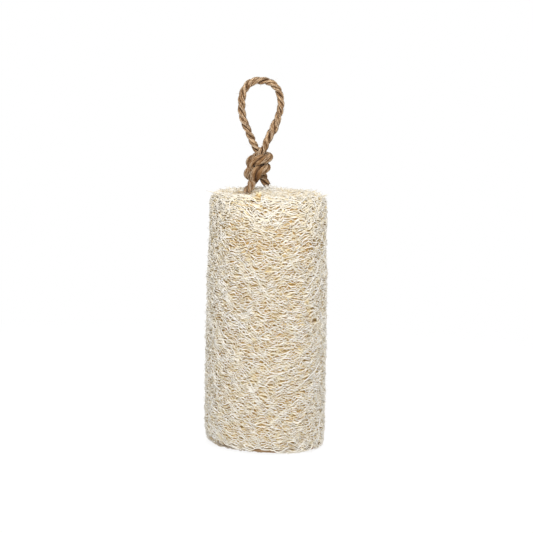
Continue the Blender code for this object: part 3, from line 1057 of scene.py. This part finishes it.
def stray_fibres(rng, bundle, count):
    """Scatter loose fibres over the side, and lay those that the photograph singles out."""
    for start, end in STRAYS_PX:
        add_stray(bundle, seen_at(*start), seen_at(*end), rng.uniform(-0.001, 0.001), 0.00028, 0.0,
                  0.00015)
    for _ in range(count):
        angle, level = rng.uniform(-np.pi, np.pi), rng.uniform(0.002, SPONGE_HEIGHT - 0.001)
        heading = rng.normal(0.0, 0.35) + rng.choice([0.0, np.pi])
        end_angle, end_level = headed(angle, level, heading, rng.uniform(0.004, 0.013))
        end = (end_angle, min(max(end_level, 0.0), SPONGE_HEIGHT))
        add_stray(bundle, (angle, level), end, rng.uniform(-0.0012, 0.0012),
                  rng.uniform(0.00016, 0.00030), rng.uniform(0.0, 0.7), rng.uniform(-0.0003, 0.0001))


def links(rng, bundle, count):
    """Tie neighbouring fibres together with short steep ones, which round the cells off."""
    t = np.linspace(0.0, 1.0, 4)
    for _ in range(count):
        angle, level = rng.uniform(-np.pi, np.pi), rng.uniform(0.001, SPONGE_HEIGHT)
        heading = rng.choice([-1.0, 1.0]) * rng.uniform(0.5, 1.5)
        angles, levels = headed(angle, level, heading, rng.uniform(0.0011, 0.0024), t)
        if not (outside_holes(angles, levels, 1.2) & (levels > RIM(angles))).all():
            continue
        depth = 0.0006 - 0.0003 * np.sin(np.pi * t) + rng.uniform(-0.0001, 0.0004)
        points, normals = on_sponge(angles, levels, depth)
        half = rng.uniform(0.00013, 0.00022)
        # colour by depth: painted shade
        bundle.add(off_floor(points, 0.0003), normals, half, half, rng.uniform(), depth / DEEPEST)


def fuzz(rng, bundle, count):
    """Let short fine ends stand off the sponge, so that its outline is soft."""
    t = np.linspace(0.0, 1.0, 5)
    for _ in range(count):
        angle, level = rng.uniform(-np.pi, np.pi), rng.uniform(0.001, SPONGE_HEIGHT + 0.002)
        heading = rng.uniform(0, 2 * np.pi)
        angles, levels = headed(angle, level, heading, rng.uniform(0.0012, 0.0042), t)
        levels = np.clip(levels, 0.0006, SPONGE_HEIGHT + 0.004)
        points, normals = on_sponge(angles, levels, 0.0004 - rng.uniform(0.0004, 0.0021) * t ** 1.5)
        half = rng.uniform(0.00010, 0.00019) * (1.0 - 0.55 * t)
        bundle.add(off_floor(points), normals, half, half, rng.uniform(0.0, 0.5))


# Cut ends at the top and the foot

# Hollows in the crown: x, y, radius and depth
HOLLOWS_MM = [(9.5, 9.0, 4.2, 1.4), (-12.0, 11.0, 4.0, 1.4), (6.0, -13.0, 3.6, 1.4),
              (-7.0, -28.5, 3.0, 3.2), (-14.0, -13.5, 6.0, 1.6)]
# Brown spots on the crown beside the cord: x, y and radius
BROWN_SPOTS_MM = [(-17.0, -16.0, 3.6), (-14.6, -9.6, 4.2), (-0.8, 4.2, 3.2), (-11.0, -14.0, 3.0)]
# Torn cavity in the crown's front edge: middle of its back wall, half width and height
CAVITY_MM = (-6.9, -24.2, 1.5, 4.4)
CAVITY_FIBRES = 46
# Tuft that hides the right leg's foot: middle, radius and height
TUFT_MM = (-1.7, -1.2, 3.3, 5.0)
TUFT_FIBRES = 120


def spot(x, y, place):
    """Return a soft round spot's strength, for a place whose middle and radius are in mm."""
    cx, cy, size = place[:3]
    return np.exp(-((x - cx * MM) ** 2 + (y - cy * MM) ** 2) / (size * MM) ** 2)


def crown_spots_and_shade(x, y):
    """Give how brown the crown is at a place: brown spots beside the cord, plus painted shade over the
    whole crown.
    """
    return sum(0.9 * spot(x, y, place) for place in BROWN_SPOTS_MM).clip(0.0, 0.8) + CROWN_SHADE


def hollow_depth(x, y):
    """Give how far the crown sinks at a place."""
    return sum(place[3] * MM * spot(x, y, place) for place in HOLLOWS_MM)


def crown_height(share):
    """Return the crown's height at a share of its radius."""
    return SPONGE_HEIGHT + CROWN_RISE * (1 - share ** 2)


def swirl_field(rng):
    """Return a function giving the direction of the fibres that swirl about the cut face."""
    count = 22
    aim = rng.uniform(0, 2 * np.pi, count)
    wave = 2 * np.pi / rng.uniform(0.010, 0.030, count)
    phase = rng.uniform(0, 2 * np.pi, count)

    def direction(x, y):
        gx = np.zeros_like(x)
        gy = np.zeros_like(y)
        for a, k, p in zip(aim, wave, phase):
            slope = -np.sin(k * (x * math.cos(a) + y * math.sin(a)) + p)
            gx += slope * math.cos(a)
            gy += slope * math.sin(a)
        for cx, cy, size, _ in HOLLOWS_MM:
            dx, dy = x - cx * MM, y - cy * MM
            pull = 9.0 * np.exp(-(dx ** 2 + dy ** 2) / (2 * (1.8 * size * MM) ** 2))
            far = np.hypot(dx, dy) + 1e-6
            gx += pull * dx / far
            gy += pull * dy / far
        rim = np.clip((np.hypot(x, y) - 0.024) / 0.008, 0.0, 1.0) * 2.5
        far = np.hypot(x, y) + 1e-6
        gx += rim * x / far
        gy += rim * y / far
        size = np.hypot(gx, gy) + 1e-9
        return -gy / size, gx / size
    return direction


def swirled_paths(rng, reach, count, steps):
    """Walk fibres from random places over the cut face along the swirls."""
    direction = swirl_field(rng)
    radius = reach * np.sqrt(rng.uniform(0, 1, count))
    around = rng.uniform(0, 2 * np.pi, count)
    x, y = radius * np.cos(around), radius * np.sin(around)
    veer = rng.normal(0.0, 0.5, count)
    sizes = rng.integers(7, steps, count)
    xs, ys = [x], [y]
    for _ in range(steps - 1):
        dx, dy = direction(x, y)
        turned_x = dx * np.cos(veer) - dy * np.sin(veer)
        turned_y = dx * np.sin(veer) + dy * np.cos(veer)
        veer = veer + rng.normal(0.0, 0.18, count)
        x, y = x + 0.0009 * turned_x, y + 0.0009 * turned_y
        xs.append(x)
        ys.append(y)
    return np.stack(xs, axis=1), np.stack(ys, axis=1), sizes


def cut_face(rng, bundle, top, count, depth, width, spread):
    """Lay short curled fibres over a cut end of the sponge."""
    reach = (TOP_RADIUS if top else BASE_RADIUS) - 0.0012
    xs, ys, sizes = swirled_paths(rng, reach, count, 19)
    own_depth = depth + rng.uniform(-spread, spread, count)
    side = 1.0 if top else -1.0
    shift = TOP_LEAN / 2 * side
    for index, size in enumerate(sizes):
        px, py = xs[index, :size], ys[index, :size]
        out = np.hypot(px, py) / reach
        px, py = px / np.maximum(out, 1.0), py / np.maximum(out, 1.0)
        t = np.linspace(0.0, 1.0, size)
        ends = np.abs(2 * t - 1) ** 4
        below = own_depth[index] + 0.0002 * np.sin(t * 9 + index) + 0.0005 * ends
        below = below + (hollow_depth(px, py) if top else 0.0)
        edge_drop = 0.004 * np.clip((out - 0.86) / 0.14, 0.0, 1.0) ** 2
        face = crown_height(np.clip(out, 0, 1)) if top else 0.0
        points = off_floor(np.stack([px + shift, py, face - side * (below + edge_drop)], axis=1))
        half = width * rng.uniform(0.7, 1.3) * (1.0 - 0.5 * ends)
        # painted shade: golden by depth and brown on the underside; on the crown, the brown spots and
        # the painted crown shade
        brown_and_shade = crown_spots_and_shade(px + shift, py) if top else 0.45
        bundle.add(points, (0.0, 0.0, side), half, half * 0.75, rng.uniform(),
                   np.clip((below + 0.1 * edge_drop) / DEEPEST, 0.0, 1.0), brown_and_shade)


def cut_stubs(rng, bundle, count):
    """Stand short cut fibre ends on the crown, pale at the tip and golden at the root with painted
    shade.
    """
    t = np.linspace(0.0, 1.0, 4)[:, None]
    for _ in range(count):
        radius = (TOP_RADIUS - 0.002) * math.sqrt(rng.uniform())
        around = rng.uniform(0, 2 * np.pi)
        root = np.array([radius * math.cos(around) + TOP_LEAN / 2, radius * math.sin(around), 0.0])
        root[2] = crown_height(radius / TOP_RADIUS)
        root[2] -= 0.0012 + 0.0030 * max(radius / TOP_RADIUS - 0.86, 0.0) / 0.14
        root[2] -= hollow_depth(root[0], root[1])
        lean = rng.normal(0.0, 0.9, 2)
        curl = rng.normal(0.0, 0.9, 2)
        tall = rng.uniform(0.0006, 0.0022)
        sway = (lean * t + curl * t ** 2) * tall
        points = root + np.concatenate([sway, t * tall], axis=1)
        half = rng.uniform(0.00015, 0.00030) * (1.0 - 0.3 * t[:, 0])
        depth = 0.55 * (1 - t[:, 0]) + 0.08
        bundle.add(points, (1.0, 0.0, 0.0), half, half, rng.uniform(0.2, 1.0), depth,
                   crown_spots_and_shade(points[:, 0], points[:, 1]))


def upright(root, bend, reach, t):
    """Return a fibre that stands on its root and bends sideways."""
    return np.array(root) + np.stack([bend[0] * t ** 2, bend[1] * t ** 2, reach * t], axis=1)


def cavity(rng, bundle):
    """Line the torn cavity's back wall with upright fibres, golden and browner at the root with painted
    shade.
    """
    x, y, half_width, tall = (value * MM for value in CAVITY_MM)
    t = np.linspace(0.0, 1.0, 5)
    for _ in range(CAVITY_FIBRES):
        across = rng.uniform(-1.0, 1.0)
        root = (x + across * half_width, y + 0.0012 * across ** 2, SPONGE_HEIGHT - 0.0025)
        reach = tall * rng.uniform(0.6, 1.0)
        points = upright(root, rng.normal(0.0, 0.0004, 2), reach, t)
        half = rng.uniform(0.00022, 0.00036)
        bundle.add(points, (0.0, -1.0, 0.0), half, half, rng.uniform(), 0.72 - 0.45 * t ** 4,
                   0.3 * (1 - t))


def tuft(rng, bundle):
    """Stand a tuft of pale fibres in front of the right leg's foot."""
    x, y, radius, tall = (value * MM for value in TUFT_MM)
    t = np.linspace(0.0, 1.0, 6)
    for _ in range(TUFT_FIBRES):
        around, away = rng.uniform(0, 2 * np.pi), math.sqrt(rng.uniform())
        root = (x + radius * away * math.cos(around), y + 0.6 * radius * away * math.sin(around),
                SPONGE_HEIGHT + CROWN_RISE - 0.0012)
        reach = tall * rng.uniform(0.45, 1.0) * (1.0 - 0.45 * away ** 2)
        points = upright(root, rng.normal(0.0, 0.0011, 2), reach, t)
        half = rng.uniform(0.00020, 0.00036) * (1.0 - 0.3 * t)
        # painted shade: deeper golden and a little brown at the roots
        bundle.add(points, (0.0, -1.0, 0.0), half, half, rng.uniform(0.0, 1.0), 0.4 * (1.0 - t),
                   0.1 * (1.0 - t) ** 2)


def foot_lips(rng, bundle):
    """Lay brown inner fibres behind the foot's rim where the photograph shows them."""
    t = np.linspace(-1.0, 1.0, 16)
    for middle, _, half in placed(LIPS_PX):
        for row in range(9):
            angle = middle + half * (t + rng.uniform(-0.1, 0.1)) / SHEET_RADIUS
            level = -0.0009 + 0.0004 * row + 0.0002 * np.sin(5 * t + rng.uniform(0, 6.3))
            points, normals = on_sponge(angle, level, rng.uniform(0.0010, 0.0014))
            # painted shade: the deepest colour, nearly all brown
            bundle.add(off_floor(points), normals, 0.00034, 0.0002, rng.uniform(), 1.0,
                       rng.uniform(0.88, 1.0))


def inner_mat(rng, material):
    """Close the sponge inside its net with a rough mass of packed fibre, coloured deep golden with
    painted shade and brown by the floor.
    """
    columns, rows = 128, 76
    angle = np.linspace(0, 2 * np.pi, columns, endpoint=False)[None]
    level = np.linspace(PROFILE[0][1] - 0.002, PROFILE[0][-2] + 0.002, rows)[:, None]
    coarse = ripple(rng, 20, 10, 40, 0.006, 0.020)
    fine = ripple(rng, 20, 20, 70, 0.0035, 0.009)
    depth = DEEPEST - 0.0004 + 0.0003 * coarse(angle, level) + 0.0003 * fine(angle, level)
    depth = depth * np.clip((level + 0.0040) / 0.0080, 0.3, 1.0)
    below_crown = upper_share(level) * np.clip((SPONGE_HEIGHT - level) / 0.004, 0.0, 1.0)
    depth = depth * (1.0 - 0.42 * below_crown)
    points, _ = on_sponge(*np.broadcast_arrays(angle, level), depth)
    ring = np.arange(columns)
    beside = (ring + 1) % columns
    last = (rows - 1) * columns
    quads = ring_quads(np.arange(rows - 1), columns)
    vertices = np.concatenate([points.reshape(-1, 3), [points[0].mean(0)], [points[-1].mean(0)]])
    foot, crown = np.full(columns, rows * columns), np.full(columns, rows * columns + 1)
    caps = np.concatenate([np.stack([foot, beside, ring], axis=1),
                           np.stack([crown, last + ring, last + beside], axis=1)])
    # painted shade: the deepest colour all over, and brown shade by the floor
    values = {"tone": np.full(len(vertices), 0.6), "depth": np.full(len(vertices), 1.0),
              "brown_and_shade": foot_shade(vertices[:, 2], DEEPEST)}
    return mesh_from_arrays("inner_mat", vertices, quads, caps, material, values)


def build_sponge():
    """Build the sponge's net from its pale outside to its inside, which painted shade turns golden."""
    fibre = loofah_material()
    rng = np.random.default_rng(7)
    pieces = []
    for net in NETS:
        pieces += build_net(rng, fibre, **net)
    loose = FibreBundle()
    stray_fibres(rng, loose, 200)
    links(rng, loose, 3600)
    fuzz(rng, loose, 1500)
    pieces += loose.build("loose_fibres", fibre)
    crown = FibreBundle()
    cut_face(rng, crown, True, 520, 0.0008, 0.00034, 0.0005)
    cut_face(rng, crown, True, 460, 0.0017, 0.00038, 0.0003)
    cut_stubs(rng, crown, 900)
    cavity(rng, crown)
    tuft(rng, crown)
    pieces += crown.build("cut_crown", fibre)
    foot = FibreBundle()
    cut_face(rng, foot, False, 360, 0.0007, 0.00036, 0.0002)
    foot_lips(rng, foot)
    pieces += foot.build("cut_foot", fibre)
    pieces.append(inner_mat(rng, fibre))
    claim(pieces, "loofah_fibre", "loofah_sponge")


def main():
    """Set the stage and build the cord and the sponge."""
    place_camera()
    build_stage()
    hair = jute_hair_material()
    centre = build_cord()
    build_cord_hairs(centre, hair)
    build_laid_fibres(centre, hair)
    build_sponge()


main()
